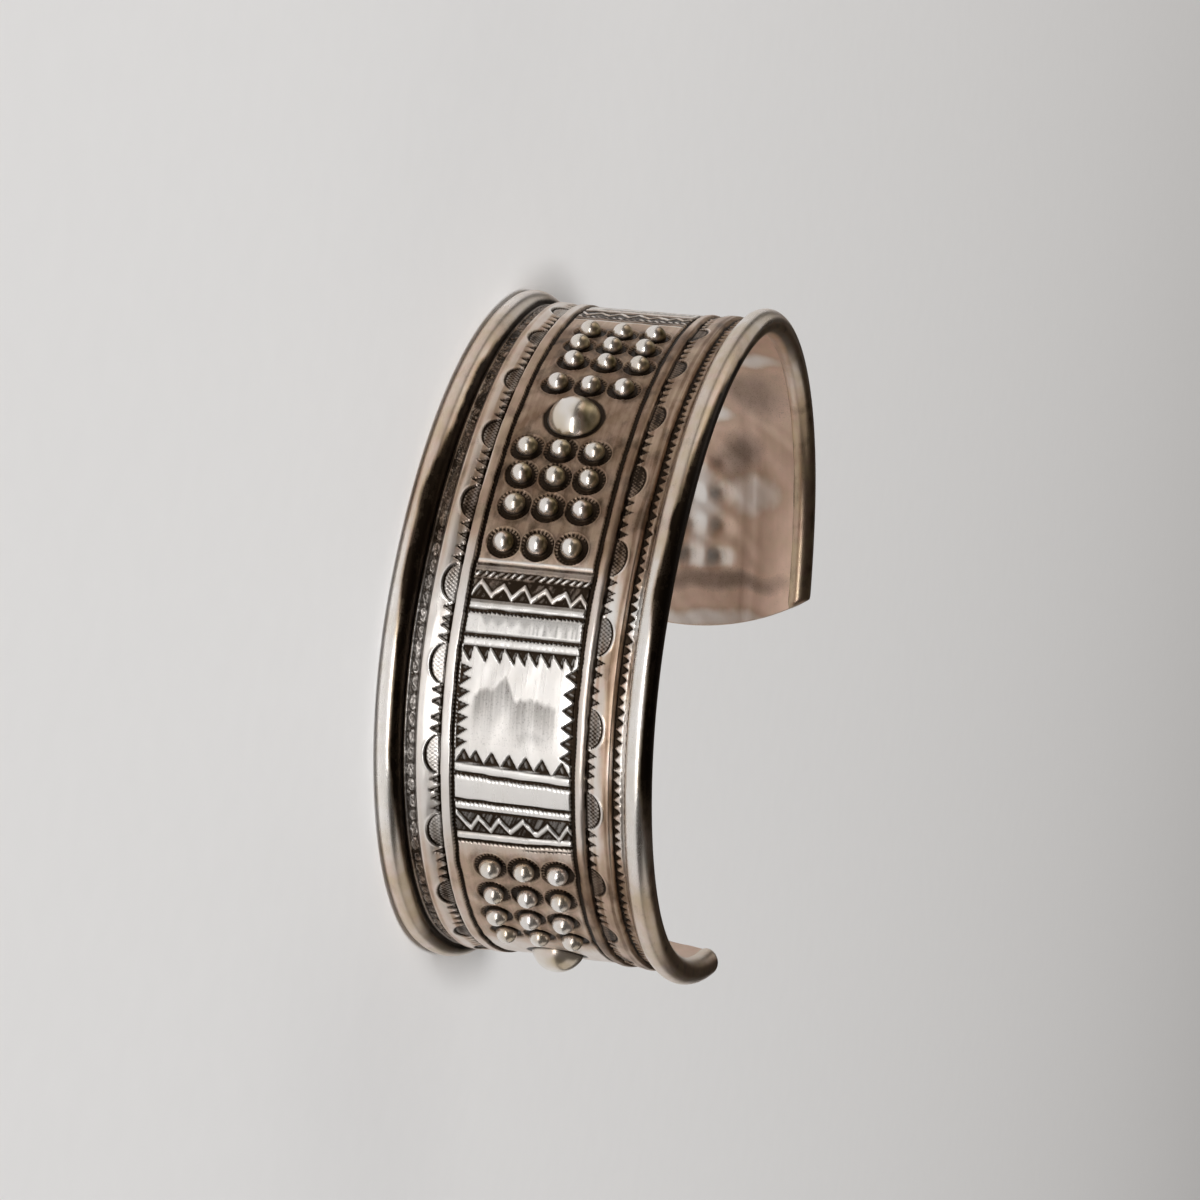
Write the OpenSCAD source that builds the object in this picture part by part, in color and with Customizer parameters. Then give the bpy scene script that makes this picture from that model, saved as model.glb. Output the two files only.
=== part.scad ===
// An open silver cuff. A flat strip was stamped from both sides, a round wire
// was soldered along each long edge, and the strip was bent into an oval.
// Soldered metal is one solid, so the whole cuff is one node.
// It lies on its side: Z runs across the strip, and the gap faces +Y.
// Sizes are in millimetres.

/* [Strip] */
// Width over both edge wires
band_w = 23; // [18:0.5:30]
// Thickness of the sheet
sheet_t = 0.9; // [0.7:0.05:1.2]
// Diameter of the edge wires
wire_d = 2.3; // [1.8:0.1:2.8]
// Depth worn off each wire on its outer side, where the cuff lies flat
wire_wear = 0.06; // [0.03:0.01:0.12]

/* [Plan of the oval] */
// Radius of the outer face across the back
back_r = 38; // [34:0.5:42]
// Angle of the back arc on each side of the middle
back_turn = 28.2; // [24:0.2:32]
// Radius of the outer face round each side
side_r = 22.7; // [21:0.1:25]
// Angle of each side arc
side_turn = 89.4; // [88:0.2:90]
// Radius of the outer face towards the ends
end_r = 36.7; // [34:0.1:40]
// Length of the strip from the middle of the back to the long end
long_end = 74.3; // [68:0.1:76]
// Length of the strip from the middle of the back to the short end
short_end = 65.2; // [62:0.1:68]
// Radius of the rounded end edge, seen flat
end_curve_r = 21; // [18:0.5:30]

/* [Raised lines] */
// Distance from the middle line to each flat raised strip
strip_at = 5.62; // [5.3:0.02:6]
// Width of each flat raised strip
strip_w = 0.86; // [0.6:0.02:1.1]
// Height of each flat raised strip
strip_h = 0.2; // [0.1:0.05:0.3]
// Distance from the middle line to each round ridge
ridge_at = 7.55; // [7.2:0.05:7.9]
// Width of each round ridge
ridge_w = 1.5; // [1:0.05:1.7]
// Height of each round ridge
ridge_h = 0.3; // [0.15:0.05:0.4]

/* [Beads and domes] */
// Rows of beads near the middle dome, on the long side
near_rows = [4.4, 7.25, 10.25, 13.8];
// How far each of those rows was struck off the middle line
near_shift = [-0.4, -0.2, -0.1, -0.25];
// Rows of beads near the middle dome, on the short side
far_rows = [-3.6, -7.2, -10.2, -13.2];
// How far each of those rows was struck off the middle line
far_shift = [0.1, 0.5, 0.2, 0.3];
// Rows of beads between the plaque and the dome of the long side
long_rows = [42, 45.2, 48.5, 51.8];
// How far each of those rows was struck off the middle line
long_shift = [0.5, 0.4, 0.1, 0.3];
// Rows of beads between the dome and the end of the short side
short_rows = [49, 52.3, 55.5, 58.4];
// How far each of those rows was struck off the middle line
short_shift = [0.2, 0.1, 0.2, 0.1];
// Distance between the three columns of beads
bead_pitch = 2.85; // [2.6:0.05:3.2]
// Radius of a bead
bead_r = 0.92; // [0.8:0.01:1.1]
// Height of a bead's centre over the sheet
bead_lift = 0.12; // [0:0.02:0.2]
// Radius of the dent behind a bead
bead_dent_r = 0.62; // [0.4:0.02:0.8]
// Length and shift across of the middle dome
middle_dome = [0.5, -0.25];
// Length and shift across of the dome on the long side
long_dome = [58.4, 0.3];
// Length and shift across of the dome on the short side
short_dome = [44.8, 0];
// Diameter of a dome at the sheet
dome_d = 4.5; // [3.8:0.1:4.8]
// Height of a dome
dome_h = 1.6; // [1:0.1:2]
// Diameter of the dent behind a dome
dome_dent_d = 3.2; // [2:0.1:3.5]
// Depth of the dent behind a dome
dome_dent_h = 1.5; // [0.8:0.1:1.6]

/* [Hidden] */

$fn = 96;
wire_r = wire_d / 2;
mid_z = band_w / 2;

// Where two arcs meet, a short sleeve is a hair larger than the section, so
// the arcs stop inside it and join into one solid
sleeve_l = 0.8;
sleeve_grow = 0.02;
arc_gap = 0.25;

// Centres of the side and end arcs, from the centre of the back arc.
// Neighbouring arcs share a tangent, so the oval has no corners.
both_turn = back_turn + side_turn;
side_c = (back_r - side_r) * [sin(back_turn), -cos(back_turn)];
end_c = side_c + (side_r - end_r) * [sin(both_turn), -cos(both_turn)];

// Lengths along the outer face at which the back arc and the side arcs stop
back_s = back_r * back_turn * PI / 180;
side_s = back_s + side_r * side_turn * PI / 180;

// Turn of the outer face, in degrees from the middle of the back, at length s
function turn_at(s) =
    s < back_s ? s / back_r * 180 / PI :
    s < side_s ? back_turn + (s - back_s) / side_r * 180 / PI :
    both_turn + (s - side_s) / end_r * 180 / PI;

// Centre and radius of the arc that holds length s
function arc_c(s) = s < back_s ? [0, 0] : s < side_s ? side_c : end_c;
function arc_r(s) = s < back_s ? back_r : s < side_s ? side_r : end_r;

// Sphere radius of a cap with base diameter d and height h
function cap_r(d, h) = (d * d / 4 + h * h) / (2 * h);

// Rows of beads as [length, shift], and those of a list that lie on one arc
function shifted(rows, shifts) = [for (i = [0:len(rows) - 1]) [rows[i], shifts[i]]];
function between(list, low, high) = [for (p = list) if (p[0] > low && p[0] < high) p];

// The origin is under the middle of the cuff's own box, which runs from the
// top of the middle dome to the tip of the long end
long_turn = turn_at(long_end);
dome_r = cap_r(dome_d, dome_h);
dome_y = (back_r + dome_h - dome_r) * cos(turn_at(middle_dome[0])) + dome_r;
y_low = -max(dome_y, back_r + wire_r);
y_high = end_c[1] - end_r * cos(long_turn);
y_shift = -(y_low + y_high) / 2;

// Section of the strip: x points out of the sheet, y runs across the strip.
// The sleeves use it grown by a hair.
module section(grow = 0) {
    translate([-sheet_t - grow, wire_r])
        square([sheet_t + 2 * grow, band_w - wire_d]);
    intersection() {
        for (y = [wire_r - wire_wear, band_w - wire_r + wire_wear])
            translate([0, y]) circle(r = wire_r + grow);
        translate([-wire_d, 0]) square([2 * wire_d, band_w]);
    }
    for (side = [-1, 1]) {
        translate([-sheet_t / 2, mid_z + side * strip_at - strip_w / 2 - grow])
            square([sheet_t / 2 + strip_h + grow, strip_w + 2 * grow]);
        translate([0, mid_z + side * ridge_at]) ridge_section(grow);
    }
}

// A low arch that stands on the sheet
module ridge_section(grow) {
    r = cap_r(ridge_w, ridge_h);
    intersection() {
        translate([ridge_h - r, 0]) circle(r = r + grow);
        translate([-sheet_t / 2, -ridge_w]) square([sheet_t, 2 * ridge_w]);
    }
}

// One arc of the strip, from one turn to another
module strip_arc(centre, r, from, to) {
    translate(centre)
        rotate_extrude(start = from - 90, angle = to - from)
            translate([r, 0]) section();
}

// Puts a child on the outer face at length s and distance v from the middle
// line. The child's x axis points out of the sheet.
module on_strip(s, v) {
    mirror([s < 0 ? 1 : 0, 0, 0])
        translate(arc_c(abs(s)))
            rotate([0, 0, turn_at(abs(s)) - 90])
                translate([arc_r(abs(s)), 0, mid_z + v]) children();
}

module sleeve(s) {
    on_strip(s, -mid_z)
        rotate([90, 0, 0])
            translate([0, 0, -sleeve_l / 2])
                linear_extrude(sleeve_l) section(sleeve_grow);
}

// The cap of a ball of radius r, turned about the axis that points out of the
// sheet. Its centre stands at height lift, and it is cut flat at height low.
module ball_cap(r, lift, low) {
    rotate([0, 90, 0])
        rotate_extrude()
            intersection() {
                translate([0, lift]) circle(r = r);
                translate([0, low]) square([2 * r, 3 * r]);
            }
}

// A punch pushes each bead out of the sheet and leaves a dent behind it. The
// caps have their root half-way into the sheet.
module beads(rows) {
    for (row = rows)
        for (column = [-1, 0, 1])
            on_strip(row[0], row[1] + column * bead_pitch)
                ball_cap(bead_r, bead_lift, -sheet_t / 2);
}

module bead_dents(rows) {
    for (row = rows)
        for (column = [-1, 0, 1])
            on_strip(row[0], row[1] + column * bead_pitch)
                ball_cap(bead_dent_r, -sheet_t, -sheet_t - bead_dent_r / 2);
}

module dome(place) {
    on_strip(place[0], place[1]) ball_cap(dome_r, dome_h - dome_r, -sheet_t / 2);
}

module dome_dent(place) {
    r = cap_r(dome_dent_d, dome_dent_h);
    on_strip(place[0], place[1])
        ball_cap(r, dome_dent_h - sheet_t - r, -sheet_t - r / 4);
}

// Everything past a rounded end edge, to be cut off
module end_waste(s) {
    reach = 12;
    on_strip(s, 0)
        translate([-reach / 2, 0, 0]) rotate([90, 0, 90])
            linear_extrude(reach)
                difference() {
                    translate([-7, -band_w]) square([16, 2 * band_w]);
                    translate([-end_curve_r, 0]) circle(r = end_curve_r);
                }
}

// A piece of the strip with the beads and domes that stand on it
module stamped(rows, domes) {
    difference() {
        union() {
            children();
            beads(rows);
            for (place = domes) dome(place);
        }
        bead_dents(rows);
        for (place = domes) dome_dent(place);
    }
}

module back_piece() {
    rows = concat(shifted(near_rows, near_shift), shifted(far_rows, far_shift));
    gap = arc_gap / back_r * 180 / PI;
    stamped(rows, [middle_dome])
        strip_arc([0, 0], back_r, gap - back_turn, back_turn - gap);
}

module side_piece(rows, domes) {
    gap = arc_gap / side_r * 180 / PI;
    stamped(between(rows, back_s, side_s), between(domes, back_s, side_s))
        strip_arc(side_c, side_r, back_turn + gap, both_turn - gap);
}

// The strip runs a little past its end before the end is cut round
module end_piece(rows, domes, end_s) {
    gap = arc_gap / end_r * 180 / PI;
    difference() {
        stamped(between(rows, side_s, end_s), between(domes, side_s, end_s))
            strip_arc(end_c, end_r, both_turn + gap, turn_at(end_s) + 1);
        end_waste(end_s);
    }
}

module half(rows, domes, end_s) {
    side_piece(rows, domes);
    end_piece(rows, domes, end_s);
    sleeve(back_s);
    sleeve(side_s);
}

module cuff() {
    color([0.78, 0.76, 0.72])
        translate([0, y_shift, 0]) {
            back_piece();
            half(shifted(long_rows, long_shift), [long_dome], long_end);
            mirror([1, 0, 0])
                half(shifted(short_rows, short_shift), [short_dome], short_end);
        }
}

cuff();
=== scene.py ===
# %% [markdown]
# # A stamped silver cuff
# The real cuff is a flat strip of silver that was punched from both sides, given a round wire along
# each long edge, and bent into an open oval. This lesson dresses its plain solid: the punched face
# is worked out as a height for each point of the flat strip and then bent, the way that the smith
# worked it. The picture shows the cuff standing, but it lies on its side here, so the camera is
# rolled to give the same view.

# %% Load the plain solid
import math
import bpy
import numpy as np
from mathutils import Matrix, Vector


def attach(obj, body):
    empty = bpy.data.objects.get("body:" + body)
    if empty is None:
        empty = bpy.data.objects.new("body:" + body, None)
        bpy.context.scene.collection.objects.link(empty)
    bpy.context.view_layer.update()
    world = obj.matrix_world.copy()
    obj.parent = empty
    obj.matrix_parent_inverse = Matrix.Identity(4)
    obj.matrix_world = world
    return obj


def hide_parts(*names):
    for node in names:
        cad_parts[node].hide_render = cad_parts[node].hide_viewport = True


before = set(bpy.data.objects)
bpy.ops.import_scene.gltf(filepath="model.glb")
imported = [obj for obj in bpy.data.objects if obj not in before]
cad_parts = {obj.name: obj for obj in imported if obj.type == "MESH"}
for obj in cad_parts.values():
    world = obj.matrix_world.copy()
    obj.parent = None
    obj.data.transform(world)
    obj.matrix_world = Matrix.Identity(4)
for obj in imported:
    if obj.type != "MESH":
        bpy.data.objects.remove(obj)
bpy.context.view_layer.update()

# %% [markdown]
# ## The flat strip and the bend
# Every mark on the cuff was made while the strip was flat, so each one has a length s from the
# middle dome and a distance v from the middle line. Three arcs a side turn s into a place on the
# oval. They are the same arcs as in the solid, so nothing needs fitting. A mesh could be bent by a
# modifier instead, but here the exact arcs matter more than the ease of changing them.

# %% Sizes of the strip, in millimetres
BAND_W, SHEET_T = 23.0, 0.9
BACK_R, SIDE_R, END_R = 38.0, 22.7, 36.7
BACK_TURN, SIDE_TURN = math.radians(28.2), math.radians(89.4)
LONG_END, SHORT_END, END_CURVE_R = 74.3, 65.2, 21.0
DOME_D, DOME_H = 4.5, 1.6
DOMES = [(0.5, -0.25), (58.4, 0.3), (-44.8, 0.0)]

BOTH_TURN = BACK_TURN + SIDE_TURN
BACK_S = BACK_R * BACK_TURN
SIDE_S = BACK_S + SIDE_R * SIDE_TURN


def arc_centre(before, radius_before, radius, turn):
    """Centre of an arc that carries on from the one before it without a corner."""
    step = radius_before - radius
    return before[0] + step * math.sin(turn), before[1] - step * math.cos(turn)


SIDE_C = arc_centre((0.0, 0.0), BACK_R, SIDE_R, BACK_TURN)
END_C = arc_centre(SIDE_C, SIDE_R, END_R, BOTH_TURN)
long_turn = BOTH_TURN + (LONG_END - SIDE_S) / END_R
y_high = END_C[1] - END_R * math.cos(long_turn)
DOME_BALL = (DOME_D**2 / 4 + DOME_H**2) / (2 * DOME_H)
dome_y = (BACK_R + DOME_H - DOME_BALL) * math.cos(DOMES[0][0] / BACK_R) + DOME_BALL
Y_SHIFT = (dome_y - y_high) / 2
print("shift along Y, mm", round(Y_SHIFT, 3))


# %% Bend a flat point into place
def bend(s, out, v):
    """Places in metres for lengths s, heights out over the face, and distances v."""
    s, out, v = np.broadcast_arrays(np.asarray(s, float), out, v)
    p = np.abs(s)
    side_turn = BACK_TURN + (p - BACK_S) / SIDE_R
    end_turn = BOTH_TURN + (p - SIDE_S) / END_R
    on_back, on_side = p < BACK_S, p < SIDE_S
    turn = np.where(on_back, p / BACK_R, np.where(on_side, side_turn, end_turn))
    cx = np.where(on_back, 0.0, np.where(on_side, SIDE_C[0], END_C[0]))
    cy = np.where(on_back, 0.0, np.where(on_side, SIDE_C[1], END_C[1]))
    r = np.where(on_back, BACK_R, np.where(on_side, SIDE_R, END_R)) + out
    x = (cx + r * np.sin(turn)) * np.sign(np.where(s == 0, 1, s))
    y = cy - r * np.cos(turn) + Y_SHIFT
    return np.stack([x, y, v + BAND_W / 2], -1) / 1000


def end_back(v):
    """How far the rounded end edge lies back from the tip at distance v."""
    return END_CURVE_R - np.sqrt(END_CURVE_R**2 - v**2)


print("tip of the long end", bend(LONG_END, 0.0, 0.0))


# %% [markdown]
# ## Punches and gravers
# Each tool leaves a small shape: a line, a triangle, a half-round or a ring. The shapes could be
# cut from the solid one by one, but there are hundreds, so a few soft-edged masks between 0 and 1
# stand for them. Three layers are kept for each point of the strip: its height in millimetres, how
# much black oxide it holds, because dirt stays where the metal is low, and how far rubbing has
# bared the metal.


# %% Soft masks for the marks
def ease(x):
    """A soft step that is 0 up to x = 0, and 1 from x = 1 on."""
    x = np.clip(x, 0, 1)
    return x * x * (3 - 2 * x)


def band(x, middle, width, soft=0.1):
    """1 inside a line of this width, and 0 outside, with soft edges."""
    return ease((width / 2 + soft / 2 - np.abs(x - middle)) / soft)


def arch(x, half):
    """A round-topped line, 1 along its middle and 0 past this half width."""
    return np.clip(1 - (x / half) ** 2, 0, 1)


def wave(x, pitch):
    """A zigzag between 0 and 1 that is 1 at x = 0."""
    return 1 - np.abs(2 * ((x / pitch + 0.5) % 1) - 1)


def inside(d, soft=0.08):
    """1 where d, a depth inside a shape in millimetres, is positive."""
    return ease(d / soft + 0.5)


print("a round-topped line is", arch(np.array([0.0, 0.2, 0.4]), 0.4), "high across its half")

# %% Random lines, for marks that no hand makes evenly
KNOTS, START_KNOT = 400, 200.37
UNEVEN_STEPS = 512
UNEVEN = np.random.default_rng(11).uniform(-1, 1, (2, UNEVEN_STEPS))


def ripple(x, length, seed):
    """A smooth random line between about -1 and 1, with a new value at each length."""
    knots = np.random.default_rng(seed).uniform(-1, 1, KNOTS)
    t = x / length + START_KNOT
    i = np.floor(t).astype(int)
    before, after = knots[i % KNOTS], knots[(i + 1) % KNOTS]
    return before + (after - before) * ease(t - i)


def uneven(row, number):
    """A random value between -1 and 1 for the mark with this number in a row of marks."""
    return UNEVEN[row, number.astype(int) % UNEVEN_STEPS]


print("a random line", ripple(np.arange(4) / 2, 1.0, 3).round(2))

# %% [markdown]
# ## The borders
# From the middle outward, each border has a dark cut line, a raised strip, a row of hatched
# half-rounds with small triangles between them, a round ridge, and a rough row beside the wire. On
# one border the rough row still has dark teeth, and on the other it is worn to little ovals. All of
# them run the whole length, so v places them, and s gives the repeat. An array of small meshes
# would suit one clean row, but worn rows that run into each other are easier to draw as masks.

# %% Half-rounds and the triangles between them
STRIP_AT, RIDGE_AT = 5.62, 7.55
ROUND_PITCH, ROUND_HALF, ROUND_HIGH, ROUND_FOOT = 7.12, 1.65, 1.2, 6.05
ROUND_START = {-1: 3.2, 1: 6.9}


def half_rounds(s, a, side):
    """The hatched half-rounds, their outlines and bright rims, the triangles and their hearts."""
    start = np.where(side < 0, ROUND_START[-1], ROUND_START[1])
    turn = (s - start) / ROUND_PITCH + 0.5
    slip = 0.22 * uneven(0, np.floor(turn) * 2 + side)
    t = (turn % 1 - 0.5) * ROUND_PITCH + slip
    bulge = ROUND_HIGH * np.sqrt(np.clip(1 - (t / ROUND_HALF) ** 2, 0, 1))
    there = np.abs(t) < ROUND_HALF + 0.05
    hatched = inside(np.minimum(6.15 + bulge - a, a - ROUND_FOOT), 0.1)
    outline = band(a - bulge, 6.1, 0.2, 0.1) * there
    rim = band(a - bulge, 6.3, 0.22, 0.1) * there
    room = ROUND_PITCH / 2 - ROUND_HALF - 0.02
    u = (np.abs(t) - ROUND_HALF - 0.02) / (room / 2)
    size = 0.86 + 0.12 * uneven(1, np.floor(s / 0.9))
    spike = wave(u - 0.5, 1.0)
    deep = np.minimum(6.1 + size * (0.75 * spike + 0.25 * spike**2) - a, a - ROUND_FOOT)
    triangle = inside(deep, 0.08) * (u > 0)
    return hatched, outline, rim, triangle, triangle * ease((deep - 0.16) / 0.15)


print("half-rounds in a row", int((LONG_END + SHORT_END) / ROUND_PITCH))

# %% The rough row beside the wire
TOOTH_PITCH, OVAL_PITCH, OVAL_AT = 0.84, 1.42, 8.6


def rough_row(s, a, side):
    """Dark teeth on one border, and worn little ovals on the other."""
    x = s + 0.12 * ripple(s, 0.9, 8)
    reach = 0.62 * (0.85 + 0.25 * ripple(s, 0.8, 9))
    tooth = reach * wave(x, TOOTH_PITCH) ** 0.8 + 0.08
    teeth_row = inside(np.minimum(8.3 + tooth - a, a - 8.24), 0.1)
    number = np.floor(x / OVAL_PITCH)
    ds = (x % OVAL_PITCH - OVAL_PITCH / 2) / (0.56 + 0.12 * uneven(0, number))
    da = (a - OVAL_AT + 0.07 * uneven(1, number)) / 0.3
    ragged = ripple(s + 1.7 * a, 0.24, 14) * ripple(s - 2.1 * a, 0.31, 15)
    oval = ds**2 + da**2 + 0.35 * ragged
    pits = ripple(1.3 * s + 2 * a, 0.27, 12) * ripple(s - 2.4 * a, 0.33, 16)
    pitted = (0.25 + 0.65 * ease(1.6 * pits + 0.62)) * ease((0.85 - oval) / 0.3)
    ovals = np.maximum(1 - ease((1.1 - oval) / 0.35), pitted)
    grain = ripple(1.9 * s + a, 0.25, 17) * ripple(1.2 * s - 3 * a, 0.3, 18)
    speckle = 0.95 - 0.6 * ease(2.2 * grain)
    worn = 0.4 + 0.6 * ease((14 - np.abs(s + 1)) / 4)
    ovals = band(a, 8.66, 0.78, 0.12) * (ovals * (1 - worn) + speckle * worn)
    return np.where(side > 0, teeth_row, ovals)


print("teeth in a row", int((LONG_END + SHORT_END) / TOOTH_PITCH))


# %% Height, oxide and rubbing of the borders
def notched_line(a, s, middle, width):
    """A dark line cut by rocking a graver, so that both its edges are notched."""
    wob = 0.04 * ripple(s, 1.7, 3) + 0.025 * ripple(s, 0.5, 4)
    return band(a + wob, middle, width + 0.16 * wave(s + 0.1 * a, 0.36) - 0.06, 0.1)


def borders(s, v):
    a = np.abs(v)
    side = np.where(v < 0, -1, 1)
    cut = notched_line(a, s, np.where(side > 0, 5.0, 5.04), np.where(side > 0, 0.36, 0.25))
    round_top = arch(a - STRIP_AT + 0.02 * ripple(s, 0.8, 6), 0.5) ** 0.8
    strip = np.where(side > 0, round_top, 0.12 * round_top + 0.85 * band(a, 5.6, 0.95, 0.14))
    base = band(a + 0.03 * ripple(s, 0.7, 5), 6.12, 0.16, 0.1)
    hatched, outline, rim, triangle, heart = half_rounds(s, a, side)
    rough = rough_row(s, a, side)
    groove = band(a, 9.14, 0.12, 0.1)
    one_way = np.cos(2 * math.pi * (s / 0.34 + a / 0.42))
    other_way = np.cos(2 * math.pi * (s / 0.34 - a / 0.42))
    hatch = 0.5 + 0.25 * (one_way + other_way)
    ridge = 0.04 + 0.2 * ease((a - 6.2) / 1.4)
    ridge = ridge * ease((8.3 - a) / 0.3) * ease((a - ROUND_FOOT) / 0.1)

    h = 0.22 * strip + ridge + 0.04 * rim - 0.17 * cut - 0.1 * base
    h += -0.18 * triangle + 0.06 * heart - hatched * (0.14 - 0.07 * hatch) - 0.06 * outline
    row_h = 0.04 - 0.22 * rough + 0.03 * ripple(s, 0.22, 13)
    h += row_h * band(a, 8.68, 0.84, 0.12) - 0.05 * groove

    near_plaque = ease((np.abs(s) - 13) / 4) * ease((42 - np.abs(s)) / 6)
    filled = 0.9 - 0.3 * near_plaque * (side < 0) - 0.55 * hatch
    dark = np.maximum(triangle * 0.97 - 0.3 * heart, hatched * filled)
    dark = np.maximum(np.maximum(cut, base), dark)
    dark = np.maximum(dark * (1 - rim), 0.97 * outline)
    dark = np.maximum(dark, np.where(side > 0, 0.92, 0.82) * rough)
    # Darker next to each wire: oxide in the groove and painted shade in the crevice, heavier on the
    # lower border.
    crevice_shade_and_oxide = ease((a - 9.0) / 0.2) * np.where(side > 0, 0.25, 0.95)
    dark = np.maximum(dark, np.maximum(0.5 * groove, crevice_shade_and_oxide))
    rub = np.maximum((0.15 + 0.6 * near_plaque) * rim, 0.45 * arch(a - 5.55, 0.4) * near_plaque)
    return h, dark, rub


print("height on the ridge", borders(np.array([20.0]), np.array([RIDGE_AT]))[0])

# %% [markdown]
# ## The plaques and their bands
# Between the beads sits a bright square plaque, framed with triangles and with bands across the
# strip: a zigzag left standing between two rows of triangles, a twisted line, and dark lines cut by
# rocking a graver. An even pattern would take two lines of code, but it would look cast. The real
# teeth lean and their spacing is uneven, so their tips are listed one by one, in millimetres.

# %% Tips of the teeth round the plaque, and corners of the two zigzags
TOP_TIPS = [-4.15, -2.8, -1.6, -0.45, 0.45, 1.45, 2.5, 3.55, 4.4]
FOOT_TIPS = [-4.1, -3.1, -1.75, -0.3, 1.1, 2.45, 4.1]
LEFT_TIPS = [24.5, 25.3, 26.4, 27.5, 28.5, 29.5, 30.5]
RIGHT_TIPS = [24.4, 25.9, 27.2, 28.6, 29.9, 31.1]

# The first list of each pair runs across the strip, the second along it
UPPER_ZIGZAG = (
    [-4.85, -4.2, -3.2, -2.3, -1.5, -0.55, 0.15, 1.2, 1.9, 2.9, 3.5, 4.2, 4.85],
    [18.35, 17.35, 18.43, 17.58, 18.56, 17.53, 18.65, 17.67, 18.47, 17.74, 18.75, 17.86, 18.73],
)
LOWER_ZIGZAG = (
    [-4.85, -3.63, -2.98, -1.97, -1.27, -0.33, 0.79, 1.75, 2.0, 2.85, 3.8, 4.5, 4.85],
    [36.75, 38.14, 37.06, 38.19, 37.11, 38.18, 37.05, 38.1, 38.12, 37.25, 38.38, 37.15, 37.7],
)
print("teeth round a plaque", len(TOP_TIPS + FOOT_TIPS + LEFT_TIPS + RIGHT_TIPS))


# %% Teeth, rocked lines and zigzags
def teeth(along, depth, tips, reach, before, after, soft=0.1):
    """Triangles that point at the tips. depth is 0 on their base line and grows towards them."""
    best = np.zeros_like(along)
    heart = np.zeros_like(along)
    for tip in tips:
        x = along - tip
        room = np.where(x < 0, 1 + x / before, 1 - x / after) * reach
        deep = np.minimum(room - depth, depth + 0.05)
        best = np.maximum(best, inside(deep, soft))
        facet = 0.5 + 0.5 * ripple(3 * x + depth, 0.31, 5)
        heart = np.maximum(heart, ease((deep - 0.12) / 0.25) * facet)
    return best * (1 - 0.3 * heart)


def rocker(q, v, middle, width, seed):
    """A dark line cut by rocking: one edge is a saw, and slanted burrs stand in it like a rope."""
    x = q + 0.04 * ripple(v, 1.1, seed) - middle
    turn = v / 0.36 + 0.2 * ripple(v, 0.5, seed + 2)
    saw = 0.16 * (turn % 1)
    line = ease((x + width / 2) / 0.1 + 0.5) * ease((width / 2 + saw - 0.08 - x) / 0.1 + 0.5)
    burr = ease(2.2 * wave(turn + x / 0.5, 1.0) - 1.3) * band(x, 0.05, 0.5 * width, 0.12)
    return line, burr * line


def zigzag(q, v, top, foot, corners, seed):
    """Two rows of triangles, and the line between them that stays bright."""
    line = np.interp(v, *corners) + 0.04 * ripple(v, 0.3, seed)
    grain = 0.5 + 0.5 * ripple(2.3 * v + q, 0.3, seed + 1)
    upper = inside(np.minimum(q - top, line - 0.2 - q), 0.1)
    upper = upper * (1 - 0.35 * grain * ease((line - q - 0.4) / 0.3) * ease((q - top - 0.1) / 0.2))
    lower = inside(np.minimum(foot - q, q - line - 0.2), 0.1)
    lower = lower * (1 - 0.3 * grain * ease((q - line - 0.4) / 0.3) * ease((foot - q - 0.1) / 0.2))
    return upper, lower, band(q, line, 0.5, 0.12)


class Marks:
    """Height, oxide and rubbing of a stretch of the strip, built up mark by mark."""

    def __init__(self, like):
        self.h, self.dark, self.rub = np.zeros_like(like), np.zeros_like(like), np.zeros_like(like)

    def soil(self, oxide):
        """Blacken the metal, and leave its height as it is."""
        self.dark = np.maximum(self.dark, oxide)

    def sink(self, mask, depth, oxide):
        """Press a mark into the metal and fill it with oxide."""
        self.h = self.h - depth * mask
        self.soil(oxide * mask)

    def stand(self, mask, lift):
        """Leave a line standing, where it is rubbed bright."""
        self.h = self.h + lift * mask
        self.dark = self.dark * (1 - 0.9 * mask)
        self.rub = np.maximum(self.rub, 0.85 * mask)


print("a row of two teeth", teeth(np.arange(5) / 2, 0.2, [0.5, 1.5], 1.0, 0.4, 0.4).round(2))


# %% Bands above the plaque
# Place, width and random seed of each rocked line
ROCKED_ABOVE = ((19.77, 0.4, 60), (21.78, 0.42, 62))


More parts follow.
